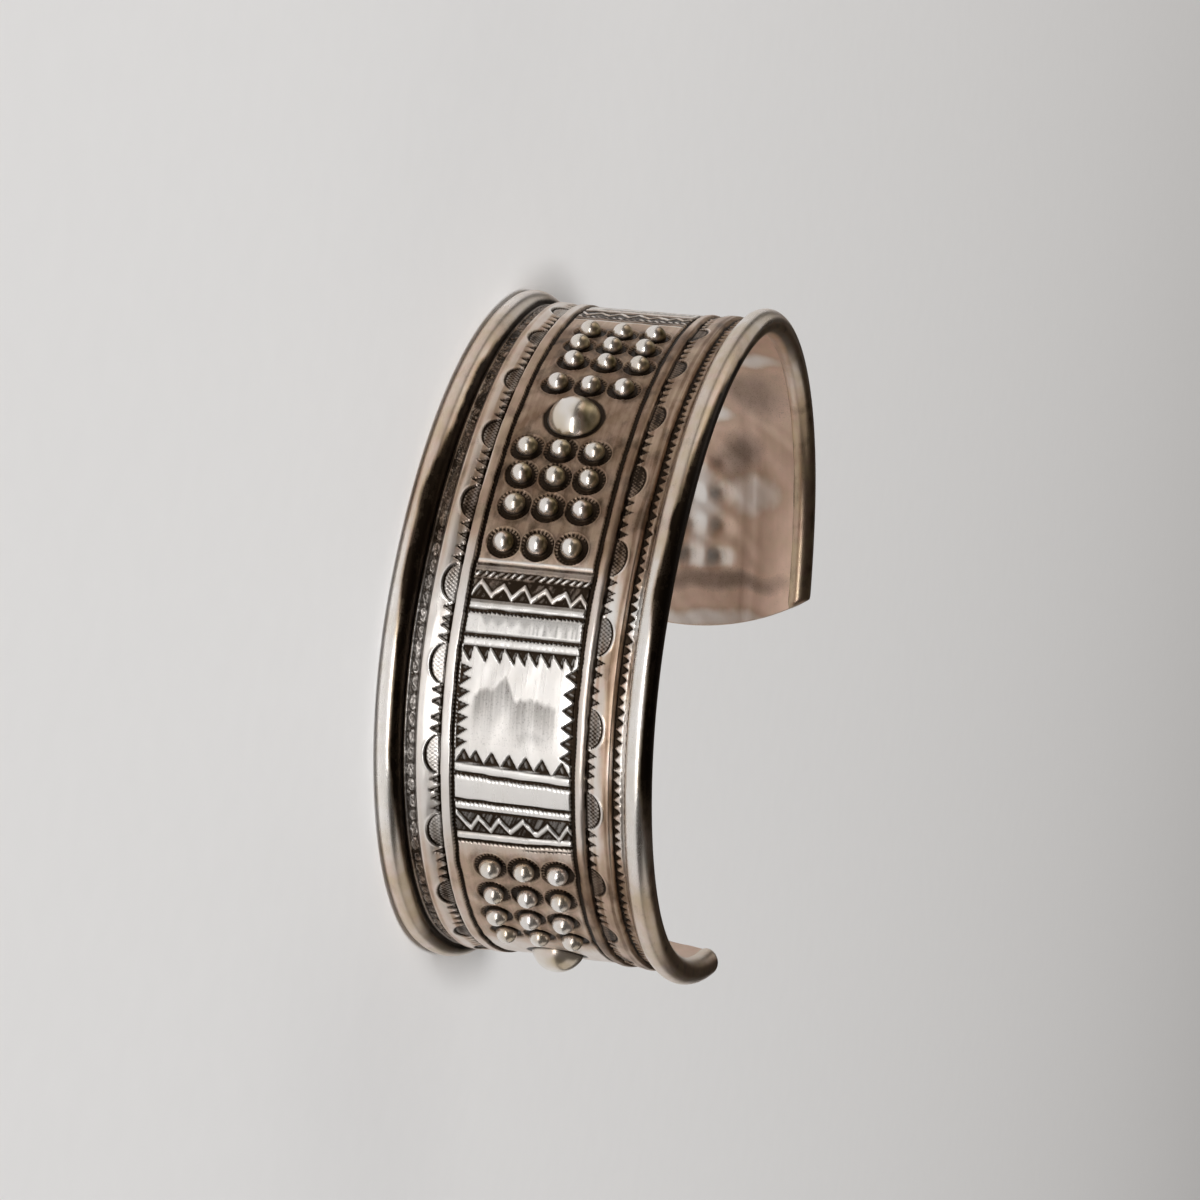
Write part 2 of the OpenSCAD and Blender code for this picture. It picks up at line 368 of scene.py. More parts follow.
def upper_bands(marks, q, v):
    """q is the length past the middle dome, on either side of it."""
    marks.stand(band(q + 0.03 * ripple(v, 1.3, 40), 15.45, 0.16, 0.1), 0.06)
    marks.sink(band(q + 0.03 * ripple(v, 1.3, 41), 15.78, 0.3, 0.12), 0.1, 0.75)
    marks.soil(0.5 * band(q, 16.2, 0.5, 0.3))

    rope = q - 0.012 * np.maximum(v, 0) ** 1.5 + 0.04 * ripple(v, 1.2, 47)
    strand = ease(2.4 * wave(v + 1.1 * q + 0.1 * ripple(v, 0.7, 51), 0.62) - 0.8)
    worn = 0.45 + 0.55 * ease(2.2 * ripple(v, 0.45, 53) + 1.3)
    marks.sink(band(rope, 16.64, 0.56, 0.1), 0.08, 0.93)
    marks.stand(band(rope, 16.66, 0.46, 0.1) * strand * worn, 0.14)

    upper, lower, crest = zigzag(q, v, 16.98, 18.9, UPPER_ZIGZAG, 50)
    marks.sink(upper, 0.06, 0.86)
    marks.sink(lower, 0.09, 0.95)
    marks.stand(crest * (0.6 + 0.4 * ease(2 * ripple(v, 0.5, 48) + 0.9)), 0.04)
    marks.soil(0.55 * band(q, 19.0, 0.34, 0.25))
    marks.stand(band(q + 0.05 * ripple(v, 0.4, 42), 19.36, 0.36, 0.14), 0.07)

    for middle, width, seed in ROCKED_ABOVE:
        line, burr = rocker(q, v, middle, width, seed)
        marks.sink(line, 0.15, 0.97)
        marks.stand(0.35 * burr, 0.1)
    marks.stand(band(q, 20.85, 1.5, 0.2), 0.05)
    brushed = band(q, 20.8, 1.4, 0.3) * (0.5 + 0.5 * ripple(v, 0.17, 35))
    brushed = brushed * (0.3 + 0.7 * ease((v + 0.5) / 2.0))
    # shaded is a painted shade over part of the brushed band, laid in as oxide.
    shaded = ease((21.1 - q + 0.5 * wave(v, 1.1)) / 1.0)
    shaded = shaded * ease((v + 4.1 - 0.5 * (q - 20)) / 0.5) * band(v, 0, 8.8, 0.5)
    marks.soil(band(q, 20.8, 1.4, 0.2) * np.maximum(0.5 * brushed, 0.42 * shaded))
    marks.stand(band(q + 0.05 * wave(v, 0.5), 22.3, 0.42, 0.12), 0.06)
    marks.sink(band(q, 22.68, 0.12, 0.1), 0.08, 0.9)


print(len(ROCKED_ABOVE), "rocked lines above the plaque")

# %% The plaque, with its teeth and the dull mark in its middle
PLAQUE_TOP, PLAQUE_FOOT, PLAQUE_SIDE = 22.72, 32.2, 4.86
# Upper edge of the dull mark: places across the strip, and along it
SMOKE_TOP = (
    [-3.6, -3.2, -1.9, -1.0, -0.6, -0.1, 1.2, 3.2],
    [26.4, 25.9, 25.6, 24.6, 25.3, 26.4, 26.2, 26.7],
)


def plaque(marks, q, v, slant):
    framed = inside(np.minimum(q - 22.62, 32.5 - q), 0.1)
    marks.sink(teeth(v, q - PLAQUE_TOP, TOP_TIPS, 1.25, 0.95, 0.16), 0.17, 0.93)
    marks.sink(teeth(v, PLAQUE_FOOT + slant - q, FOOT_TIPS, 1.15, 0.68, 0.68), 0.17, 0.9)
    marks.sink(teeth(q, v + PLAQUE_SIDE, LEFT_TIPS, 0.95, 0.32, 0.72) * framed, 0.16, 0.9)
    marks.sink(teeth(q, PLAQUE_SIDE - v, RIGHT_TIPS, 0.95, 0.72, 0.62) * framed, 0.16, 0.92)
    pillow = band(q, 27.6, 7.6, 2.4) * band(v, 0.05, 8.2, 2.4)
    marks.h = marks.h + 0.05 * pillow

    past = q - np.interp(v, *SMOKE_TOP) - 0.14 * ripple(v, 0.23, 32)
    low = band(q + 0.35 * ripple(v, 0.3, 34), 29.6, 1.6, 1.7) * band(v, 1.4, 3.2, 2.2)
    fade = ease(past / 0.7) * (0.22 + 0.78 * ease(1.15 - past / 4.2)) * ease((31.2 - q) / 0.8)
    smoke = np.maximum(fade, 0.7 * low) * band(v, -0.1, 6.9, 0.6)
    marks.soil(0.6 * (smoke * (0.85 + 0.15 * ripple(v, 0.11, 33))))


print("the plaque is", 2 * PLAQUE_SIDE, "by", round(PLAQUE_FOOT - PLAQUE_TOP, 2), "mm")

# %% Bands below the plaque, and the whole group
# Place, width, random seed and slant of each rocked line
ROCKED_BELOW = ((33.22, 0.42, 64, 1.0), (35.62, 0.42, 66, 0.25))


def lower_bands(marks, q, v, slant):
    marks.sink(band(q - slant, 32.3, 0.12, 0.1), 0.06, 0.8)
    marks.stand(band(q - slant, 32.68, 0.5, 0.14), 0.05)
    for middle, width, seed, lean in ROCKED_BELOW:
        line, burr = rocker(q - lean * slant, v, middle, width, seed)
        marks.sink(line, 0.14, 0.97)
        marks.stand(0.35 * burr, 0.1)
    marks.stand(band(q - 0.6 * slant, 34.43, 1.75, 0.2), 0.05)
    marks.stand(band(q - 0.35 * slant + 0.06 * wave(v, 0.45), 36.07, 0.44, 0.12), 0.05)
    marks.sink(band(q - 0.35 * slant, 36.38, 0.14, 0.1), 0.07, 0.93)

    upper, lower, crest = zigzag(q, v, 36.45, 38.6, LOWER_ZIGZAG, 52)
    marks.sink(upper, 0.07, 0.93)
    marks.sink(lower, 0.09, 0.95)
    marks.stand(crest, 0.04)

    last = q - np.interp(v, [-4.8, 0.0, 4.8], [0.02, 0.0, -0.26])
    marks.stand(band(last + 0.04 * ripple(v, 0.35, 43), 38.9, 0.46, 0.12), 0.06)
    marks.sink(rocker(last, v, 39.36, 0.4, 68)[0], 0.12, 0.96)
    marks.sink(rocker(last, v, 39.85, 0.14, 70)[0] * ease((v - 0.3) / 0.8), 0.08, 0.85)


def plaque_group(q, v):
    """Everything between two groups of beads. It keeps inside the two cut lines."""
    marks = Marks(q)
    slant = 0.04 * (v + 4.9)
    upper_bands(marks, q, v)
    plaque(marks, q, v, slant)
    lower_bands(marks, q, v, slant)
    field = band(v, 0.0, 9.75, 0.1)
    return marks.h * field, marks.dark * field, marks.rub * field


print("height in a tooth", plaque_group(np.array([23.2]), np.array([-2.9]))[0])

# %% [markdown]
# ## The ground of the beads
# Every bead stands in a ring, struck with a punch that has small notches round its rim. Soot-black
# oxide fills the ring, while the ground between the rings is only dull. The beads themselves are
# meshes of their own, because a height over the strip can't give them their steep sides. Under each
# dome the face rises too, or it would show through the deep dent in the lining.

# %% Rows of beads, the same as in the solid
BEAD_PITCH, BEAD_R, BEAD_LIFT = 2.85, 0.92, 0.12
NEAR_ROWS = [(4.4, -0.4), (7.25, -0.2), (10.25, -0.1), (13.8, -0.25)]
FAR_ROWS = [(-3.6, 0.1), (-7.2, 0.5), (-10.2, 0.2), (-13.2, 0.3)]
LONG_ROWS = [(42.0, 0.5), (45.2, 0.4), (48.5, 0.1), (51.8, 0.3)]
SHORT_ROWS = [(-49.0, 0.2), (-52.3, 0.1), (-55.5, 0.2), (-58.4, 0.1)]
ROWS = NEAR_ROWS + FAR_ROWS + LONG_ROWS + SHORT_ROWS
BEADS = [(row, column * BEAD_PITCH + shift) for row, shift in ROWS for column in (-1, 0, 1)]
print(len(BEADS), "beads,", len(DOMES), "domes")

# %% Height and oxide round the beads and domes
RING_R, RING_W, NOTCHES = 1.13, 0.56, 25


def bead_ground(s, v):
    h = np.zeros_like(s)
    dark = np.zeros_like(s)
    for i, (row, column) in enumerate(BEADS):
        near = np.abs(s[:, 0] - row) < 2.4
        ds, dv = s[near] - row, v[near] - column
        around = np.arctan2(dv, ds)
        r = np.hypot(ds, dv) * (1 + 0.02 * np.sin(2 * around + i))
        notch = np.clip(0.5 + 0.8 * np.cos(around * NOTCHES + i), 0, 1)
        tilted = np.cos(around + 0.6 * np.sin(5.0 * i))
        notch = notch * (0.25 + 0.75 * ease(0.5 - 0.8 * tilted))
        ring = band(r, RING_R, RING_W, 0.1)
        milled = band(r, 1.27, 0.28, 0.08)
        outer = band(r, 1.47, 0.12, 0.1)
        h[near] += -0.17 * ring + 0.05 * outer + 0.12 * notch * milled
        ink = np.maximum(0.94 * ring * (1 - 0.7 * notch * milled), r < 0.95)
        halo = 0.3 * ease((2.3 - r) / 0.9)
        dark[near] = np.maximum(np.maximum(dark[near], halo) * (1 - outer), ink)
    for middle, across in DOMES:
        near = np.abs(s[:, 0] - middle) < 4
        r = np.hypot(s[near] - middle, v[near] - across)
        ring = band(r, DOME_D / 2 + 0.12, 0.5, 0.25)
        ball = np.sqrt(np.clip(DOME_BALL**2 - (r + 0.3) ** 2, 0, None))
        under = np.clip(DOME_H - DOME_BALL + ball, 0, None)
        h[near] += 0.85 * under - 0.07 * ring
        dark[near] = np.maximum(dark[near], np.maximum(0.9 * ring, r < DOME_D / 2))
    return h, dark


print(NOTCHES, "notches in a ring of", 2 * RING_R, "mm")

# %% The whole stamped face
MIRROR_SHIFT = 0.9


def past_middle(s):
    """Length past the middle of the pattern. The short side's bands lie a little farther out."""
    return np.where(s > 0, s, -s - MIRROR_SHIFT)


def stamped(s, v):
    """Height in millimetres, oxide, and how far the film is rubbed off, for points of the strip."""
    h, dark, rub = borders(s, v)
    q = past_middle(s)
    busy = (q > 15.2) & (q < 40)
    group_h, group_dark, group_rub = plaque_group(q, v)
    h += np.where(busy, group_h, 0)
    dark = np.maximum(dark, np.where(busy, group_dark, 0))
    rub = np.maximum(rub, np.where(busy, group_rub, 0))
    ground_h, ground_dark = bead_ground(s, v)
    h += ground_h
    dark = np.maximum(dark, ground_dark)
    hand = 0.02 * ripple(s, 3.1, 90)
    hand = hand + 0.015 * ripple(s + 2 * v, 1.9, 91) + 0.015 * ripple(v, 1.3, 92)
    return h + hand, dark, rub


print("height in the ring of a bead", stamped(np.array([[4.4]]), np.array([[0.73]]))[0])

# %% [markdown]
# ## Where the film lies
# A rosy brown film covers the silver wherever it isn't rubbed. The plaques and the bands beside
# them are bright, partly from wear and partly as a painted highlight, and the ground of the beads
# is dull. The upper border, towards +v, carries more film as painted shade. On the borders the film
# has settled in fine lines along the strip. Noise alone would spread it evenly, so these broad
# areas are worked out here, and the materials only break them up later.


# %% Share of the brown film
def tarnish(s, v):
    p = np.abs(s)
    # The stretch round each plaque loses its film, partly from wear and partly as a painted
    # highlight.
    rubbed_and_painted_highlight = ease((p - 11) / 8) * ease((44 - p) / 7) * np.where(s < 0, 0.6, 1.0)
    past = ease((p - 38) / 8)
    upper = 0.5 + 0.5 * np.tanh(v / 1.5)
    middle = band(v, 0.0, 10.0, 0.4)
    # upper grows towards the upper border, and the extra film that it brings there is painted
    # shade.
    ridge = band(np.abs(v), 7.4, 2.4, 0.5)
    dull = 0.95 * middle + (1 - middle) * (0.5 + 0.46 * upper) + 0.1 * ridge * upper
    low_part = 0.3 + 0.24 * middle + 0.08 * ridge + 0.52 * upper * (1 - middle)
    dull = dull * (1 - past) + past * low_part

    wander = np.abs(v) + 0.22 * ripple(s, 2.7, 44) + 0.05 * ripple(s, 0.9, 45)
    bare = 0.16 + 0.55 * band(wander, 7.72, 0.9, 0.7)
    bare = bare + 0.3 * ripple(s, 4.1, 46) * ease((v - 6.3) / 0.5)
    clean = 0.03 + (1 - middle) * (0.07 + upper * bare)
    clean = clean + 0.3 * band(past_middle(s), 17.7, 2.6, 1.2) * middle

    tip = ease((p - 52) / 4)
    lines = ease(0.5 + 0.9 * ripple(v + 0.12 * ripple(s, 4.3, 55), 0.26, 54))
    lines = 1 + (1 - middle) * (0.6 * lines - 0.25)
    film = (dull * (1 - rubbed_and_painted_highlight) + clean * rubbed_and_painted_highlight) * (1 - 0.6 * tip * middle)
    return np.clip(film * lines, 0, 1)


print("film on the plaque and by the beads", tarnish(np.array([25.0, 9.0]), np.zeros(2)))

# %% [markdown]
# ## Meshes from the flat strip
# A grid of points is bent and joined into a mesh. A displacement could lift a plain mesh instead,
# but the finished points give the same shape in any program. Each point keeps its flat place, its
# oxide and its film as attributes, which the materials read later, so that the brushing and the
# tarnish lie along the strip. The stamped face takes a fine grid, a tenth of a millimetre, because
# its triangles and notches are that small, and it is made in four stretches, so that no single mesh
# grows too heavy.


# %% Build a grid mesh
def quads_between(index):
    """Four-cornered faces between the rows and columns of a table of point numbers."""
    a, b, c, d = index[:-1, :-1], index[1:, :-1], index[1:, 1:], index[:-1, 1:]
    return np.stack([a, b, c, d], -1).reshape(-1, 4)


def keep_layers(mesh, s, out, v, dark, film):
    flat = np.stack(np.broadcast_arrays(s, v, out), -1).reshape(-1, 3)
    layer = mesh.attributes.new("flat", "FLOAT_VECTOR", "POINT")
    layer.data.foreach_set("vector", flat.astype(np.float32).ravel())
    for name, value in (("oxide", dark), ("film", film)):
        layer = mesh.attributes.new(name, "FLOAT", "POINT")
        layer.data.foreach_set("value", np.broadcast_to(value, s.shape).astype(np.float32).ravel())


def grid_mesh(name, s, out, v, dark, film, flip=False, loop=False):
    """s, out, v, dark and film are tables, one row for each step along the strip."""
    rows, columns = s.shape
    places = bend(s, out, v).reshape(-1, 3)
    index = np.arange(rows * columns).reshape(rows, columns)
    if loop:
        index = np.concatenate([index, index[:, :1]], 1)
    quads = quads_between(index)
    if flip:
        quads = quads[:, [0, 3, 2, 1]]
    mesh = bpy.data.meshes.new(name)
    mesh.vertices.add(len(places))
    mesh.vertices.foreach_set("co", places.astype(np.float32).ravel())
    mesh.loops.add(quads.size)
    mesh.loops.foreach_set("vertex_index", quads.astype(np.int32).ravel())
    mesh.polygons.add(len(quads))
    mesh.polygons.foreach_set("loop_start", np.arange(0, quads.size, 4, dtype=np.int32))
    mesh.update(calc_edges=True)
    mesh.polygons.foreach_set("use_smooth", np.ones(len(quads), bool))
    keep_layers(mesh, s, out, v, dark, film)
    piece = bpy.data.objects.new(name, mesh)
    bpy.context.collection.objects.link(piece)
    print(name, "has", 2 * len(quads), "triangles")
    return piece


print("nine points make", len(quads_between(np.arange(9).reshape(3, 3))), "faces")

# %% Lengths that follow the rounded ends
END_BLEND = 9


def follow_ends(s, back):
    """Draw the last stretch of the lengths back along each rounded end."""
    for tip in (LONG_END, -SHORT_END):
        sign = np.sign(tip)
        reach = np.clip((sign * s - (abs(tip) - END_BLEND)) / END_BLEND, 0, None) ** 2
        s = s - sign * reach * back
    return s


def flat_grid(start, stop, step, across):
    """Tables of s and v between two lengths of the strip."""
    n = int(round(abs(stop - start) / step)) + 1
    s = np.repeat(np.linspace(start, stop, n)[:, None], len(across), 1)
    return follow_ends(s, end_back(across)[None, :]), np.repeat(across[None, :], n, 0)


print("the last", END_BLEND, "mm of each end follow its curve")

# %% The stamped face, in four stretches
FACE_EDGE, FACE_STEP = 9.24, 0.1
FACE_V = np.linspace(-FACE_EDGE, FACE_EDGE, 232)
CUTS = [-SHORT_END + 0.1, -33.0, 0.0, 37.0, LONG_END - 0.1]
FACE_NAMES = ["face_short_end", "face_short_side", "face_long_side", "face_long_end"]
faces = []
for name, start, stop in zip(FACE_NAMES, CUTS[:-1], CUTS[1:]):
    s, v = flat_grid(start, stop, FACE_STEP, FACE_V)
    height, dark, rub = stamped(s, v)
    faces.append(grid_mesh(name, s, height, v, dark, tarnish(s, v) * (1 - rub), flip=True))

# %% [markdown]
# ## The lining
# The inner face is plain: the smith planished it, and only the dents behind the beads and domes and
# a faint ghost of the raised lines show. A coarser grid is enough for it. Bare, rosy and sooty
# patches lie there, partly wear and partly painted highlights and shade. They could be left to
# noise too, but each one has its place in the picture, so they are listed by place and size. A
# rounded edge closes each end of the sheet.

# %% Inner face with its dents
LINING_STEP = 0.2
LINING_V = np.linspace(-9.8, 9.8, 99)


def dents(s, v):
    deep = np.zeros_like(s)
    for row, column in BEADS:
        near = np.abs(s[:, 0] - row) < 2.6
        r2 = (s[near] - row) ** 2 + (v[near] - column) ** 2
        deep[near] = np.maximum(deep[near], (0.5 if row < -57 else 0.36) * np.exp(-r2 / 0.8))
    for middle, across in DOMES:
        near = np.abs(s[:, 0] - middle) < 4
        r2 = (s[near] - middle) ** 2 + (v[near] - across) ** 2
        deep[near] = np.maximum(deep[near], 1.3 * np.exp(-(r2**1.5) / 4.5))
    return deep


def ghost_lines(v):
    """The raised lines, as they show faintly on the inner face."""
    a = np.abs(v)
    return 0.03 * band(a, STRIP_AT, 0.9, 0.5) + 0.03 * band(a, RIDGE_AT, 1.2, 0.8)


s, v = flat_grid(-SHORT_END + 0.1, LONG_END - 0.1, LINING_STEP, LINING_V)
hammered = 0.03 * ripple(s, 2.6, 20) * ripple(v, 2.2, 21) + 0.02 * ripple(s + v, 1.2, 22)
ghost = ghost_lines(v) + hammered
pit = dents(s, v)
print("deepest dent, mm", pit.max().round(2))

# %% Patches of the lining, partly wear and partly painted highlights and shade: place, half size, film and oxide
PAINTED_LIGHT_AND_WEAR_PATCHES = [
    (-35.0, 7.2, 1.3, 2.4, 0.0, 0.0),
    (-40.0, 6.6, 3.2, 3.0, 0.9, 0.45),
    (-44.0, 2.8, 1.2, 1.6, 0.1, 0.0),
    (-48.6, 5.0, 2.4, 1.9, 0.9, 0.52),
    (-53.5, 1.0, 4.3, 1.9, 0.0, 0.0),
    (-52.5, 6.2, 2.2, 2.6, 0.15, 0.0),
    (-59.0, 1.6, 1.3, 3.0, 0.2, 0.0),
    (-61.0, 3.0, 0.9, 6.0, 0.85, 0.5),
    (-64.6, 1.0, 0.9, 8.0, 0.1, 0.0),
    (60.0, 0.0, 6.0, 6.0, 0.35, 0.0),
]
lining_film = 0.78 + 0.2 * ripple(s, 2.9, 26) * ripple(v, 2.3, 27)
lining_dark = ease(pit / 0.6) * 0.26
wavy_s, wavy_v = s + 0.7 * ripple(v + 0.4 * s, 2.3, 24), v + 0.5 * ripple(s, 2.4, 25)
for middle, across, half_long, half_wide, left, soot in PAINTED_LIGHT_AND_WEAR_PATCHES:
    away = np.hypot((wavy_s - middle) / half_long, (wavy_v - across) / half_wide)
    share = ease((1.7 - away) / 1.4)
    lining_film = lining_film * (1 - share) + left * share
    lining_dark = np.maximum(lining_dark, soot * share)
lining = grid_mesh("lining", s, -SHEET_T + pit + ghost, v, lining_dark, lining_film)
print(len(PAINTED_LIGHT_AND_WEAR_PATCHES), "patches on the lining")

# %% Rounded edges of the two ends
EDGE_BULGE, EDGE_ROWS = 0.1, 9


def end_edge(name, tip):
    sign = math.copysign(1.0, tip)
    t = np.linspace(0, 1, EDGE_ROWS)[:, None]
    v = np.repeat(LINING_V[None, :], EDGE_ROWS, 0)
    s_cut = tip - sign * (end_back(v) + EDGE_BULGE)
    top = np.where(np.abs(v) < FACE_EDGE, stamped(s_cut, v)[0], 0.0)
    s = s_cut + sign * EDGE_BULGE * np.sin(math.pi * t)
    low = -SHEET_T + ghost_lines(v)
    out = low + (top + SHEET_T - ghost_lines(v)) * (0.5 - 0.5 * np.cos(math.pi * t))
    return grid_mesh(name, s, out, v, 0.2, 0.5, flip=sign < 0)


edges = [end_edge("edge_long_end", LONG_END), end_edge("edge_short_end", -SHORT_END)]

# %% [markdown]
# ## The edge wires
# A round wire was soldered along each long edge, and years of lying about have worn its outer side
# flat. A curve with a round bevel would give a tube too, but not the flat, so rings of points
# follow the oval instead. The rings close up at the ends, where the wire was cut with the strip and
# filed smooth. The upper half of each wire is painted brown and black as shade, and a list gives
# the angle round the wire at which that begins. The root of each wire, in the crevice against the
# face, is painted dark with shade and oxide.

# %% Two tubes, worn where they lie
# They are a hair thinner than the solid's wires, so that they stay inside its box
WIRE_R, WIRE_WEAR = 1.14, 0.05
WIRE_AT = BAND_W / 2 - WIRE_R + WIRE_WEAR
WIRE_SIDES, WIRE_STEP = 40, 0.28
CLOSE_UP = np.array([0.0, 0.45, 0.72, 0.88, 0.96])[:, None]
CLOSE_STEPS = np.array([0.0, 0.02, 0.06, 0.13, 0.22])[:, None]


def tube(side):
    """Tables of s, height and distance for a wire, and the radius of each ring."""
    around = np.linspace(0, 2 * math.pi, WIRE_SIDES, endpoint=False)[None, :]
    n = int((LONG_END + SHORT_END) / WIRE_STEP)
    ends = len(CLOSE_UP)
    radius = WIRE_R * np.concatenate([CLOSE_UP, np.ones((n - 2 * ends, 1)), CLOSE_UP[::-1]])
    line = np.linspace(-SHORT_END, LONG_END, n)[ends:-ends, None]
    line = np.concatenate([-SHORT_END + CLOSE_STEPS, line, LONG_END - CLOSE_STEPS[::-1]])
    out = radius * np.cos(around)
    v = np.clip(side * WIRE_AT + radius * np.sin(around), -BAND_W / 2, BAND_W / 2)
    s = follow_ends(np.repeat(line, WIRE_SIDES, 1), end_back(v))
    turn_up = np.degrees(np.arctan2(np.sin(around), np.cos(around)))
    return s, out, v, radius, np.repeat(turn_up, n, 0)


print("rings in a wire", int((LONG_END + SHORT_END) / WIRE_STEP))

# %% Film, soot and painted shade of the wires
# Where the painted shade on each wire begins, in degrees from its crest, at lengths along the strip
PAINTED_SHADE_AT = [-40, -12, -5, 3, 10, 17, 22, 27, 32, 37, 42, 60]
PAINTED_SHADE_FROM = {
    -1: [110, 80, 47, 40, -5, -4, 8, 18, 18, 38, 55, 80],
    1: [110, 85, 60, 30, 14, -5, 15, 22, 21, 47, 55, 70],
}


def wire(name, side):
    s, out, v, radius, turn_up = tube(side)
    start = np.interp(s, PAINTED_SHADE_AT, PAINTED_SHADE_FROM[side]) + 4 * ripple(s, 1.9, 31)
    # Less film round the plaque, partly from wear and partly as a painted highlight.
    rubbed_and_painted_highlight = ease((np.abs(s) - 11) / 7) * ease((44 - np.abs(s)) / 7)
    # Painted shade: film and then soot over the upper half of each wire.
    upper = ease((turn_up - start + 12) / 16) * ease((135 - turn_up) / 40)
    # This fades the painted shade past the plaque, most on the upper wire.
    shade_fade = ease((s - 32) / 6) if side > 0 else 0.3 * ease((s - 42) / 8)
    far_side = ease((-s - 12) / 15)
    film = 0.36 - 0.34 * rubbed_and_painted_highlight + (0.55 - 0.3 * shade_fade) * upper + 0.3 * far_side
    # Painted shade and oxide in the crevice where each wire meets the face.
    root = 95 if side > 0 else 55
    root_shade_and_oxide = ease((-side * turn_up - root) / 25) * ease((150 + side * turn_up) / 20)
    soot = ease((turn_up - start + 7) / 14) * ease((120 - turn_up) / 40)
    soot = soot * (1 - 0.7 * far_side) * (1 - 0.85 * shade_fade)
    dark = np.maximum((0.84 + 0.06 * ripple(turn_up, 9, 36)) * soot, 0.95 * root_shade_and_oxide)
    dark = dark * ease((radius / WIRE_R - 0.85) / 0.15)
    return grid_mesh(name, s, out, v, dark, film, loop=True)


wires = [wire("wire_low", -1), wire("wire_high", 1)]

# %% [markdown]
# ## Beads and domes
# The beads were pushed out from behind with a round punch and then rubbed bright, so no two are
# quite alike. Whole balls could be set on the strip, but half of each would be hidden in it, so
# each bead is the cap of a ball whose rings run down into the struck ring. The three large domes
# are made in the same way. The film leaves the crowns bright, and on the side towards +v and
# smaller s it is an olive painted shade, which is fainter on the outer beads of the long side.


# %% Caps of balls, set on the strip
def cap_points(cap, rings, around):
    """Flat place and film for the points of one cap, ring after ring from its crown down."""
    s0, v0, radius, lift, low, dent = cap
    turn = np.linspace(0, 2 * math.pi, around, endpoint=False)
    widest = math.acos(max(-1.0, min(1.0, (low - lift) / radius)))
    tilt = np.linspace(0.02, widest, rings)[:, None]
    three_sided = 0.6 * np.sin(3 * turn + v0 + 3 * tilt)
    wobble = 1 + dent * (np.sin(2 * turn + s0) * np.sin(tilt) + three_sided)
    ds = radius * np.sin(tilt) * np.cos(turn) * wobble
    dv = radius * np.sin(tilt) * np.sin(turn) * wobble
    out = lift + radius * np.cos(tilt) * (1 - 0.5 * dent * (1 - np.cos(tilt)))
    out = np.repeat(out, around, 1)
    far = np.clip((out[0, 0] - out) / (out[0, 0] - 0.1), 0, 1)
    # Painted shade: olive film on the side of each cap towards +v and smaller s.
    painted_shade = ease(0.32 + 1.1 * (dv - 0.5 * ds) / radius) * ease(4.5 * far)
    dull = 1 - ease((s0 - 36) / 6)
    film = 0.02 + 0.03 * dull + 0.12 * far**2 + (0.15 + 0.8 * dull) * painted_shade
    return np.stack([s0 + ds, v0 + dv, out], -1).reshape(-1, 3), film.reshape(-1)


def cap_mesh(name, caps, rings, around):
    """caps holds (s, v, radius, height of the centre, lowest height, dent) for each one."""
    points, films = zip(*[cap_points(cap, rings, around) for cap in caps])
    flat, film = np.concatenate(points), np.concatenate(films)
    quads, crowns = [], []
    for i in range(len(caps)):
        index = np.arange(rings * around).reshape(rings, around) + i * rings * around
        crowns.append(index[0].tolist())
        quads.append(quads_between(np.concatenate([index, index[:, :1]], 1)))
    mesh = bpy.data.meshes.new(name)
    places = bend(flat[:, 0], flat[:, 2], flat[:, 1])
    mesh.from_pydata(places.tolist(), [], np.concatenate(quads).tolist() + crowns)
    mesh.polygons.foreach_set("use_smooth", np.ones(len(mesh.polygons), bool))
    soot = ease((0.2 - flat[:, 2]) / 0.3) * 0.9
    keep_layers(mesh, flat[:, 0], flat[:, 2], flat[:, 1], soot, film)
    piece = bpy.data.objects.new(name, mesh)
    bpy.context.collection.objects.link(piece)
    print(name, "has", len(caps), "caps")
    return piece


print("a small cap has", len(cap_points((0, 0, 1, 0, 0, 0), 3, 8)[0]), "points")

# %% Set the beads and domes
# Each cap is set a hair lower than in the solid, and its rings stop below the face
BEAD_LOW, DOME_LOW, DENT, INSET = -0.3, -0.25, 0.02, 0.01
BEAD_GRID, DOME_GRID = (12, 32), (40, 96)
rng = np.random.default_rng(7)
bead_caps = [
    (s0, v0, BEAD_R - rng.uniform(0, 0.05), BEAD_LIFT - INSET, BEAD_LOW, DENT) for s0, v0 in BEADS
]
dome_caps = [
    (s0, v0, DOME_BALL, DOME_H - DOME_BALL - INSET, DOME_LOW, DENT) for s0, v0 in DOMES
]
beads = cap_mesh("beads", bead_caps, *BEAD_GRID)
domes = cap_mesh("domes", dome_caps, *DOME_GRID)

# %% Put the pieces in the cuff's place
pieces = faces + [lining] + edges + wires + [beads, domes]
for piece in pieces:
    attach(piece, "root")
    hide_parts("cuff")
print(len(pieces), "pieces")
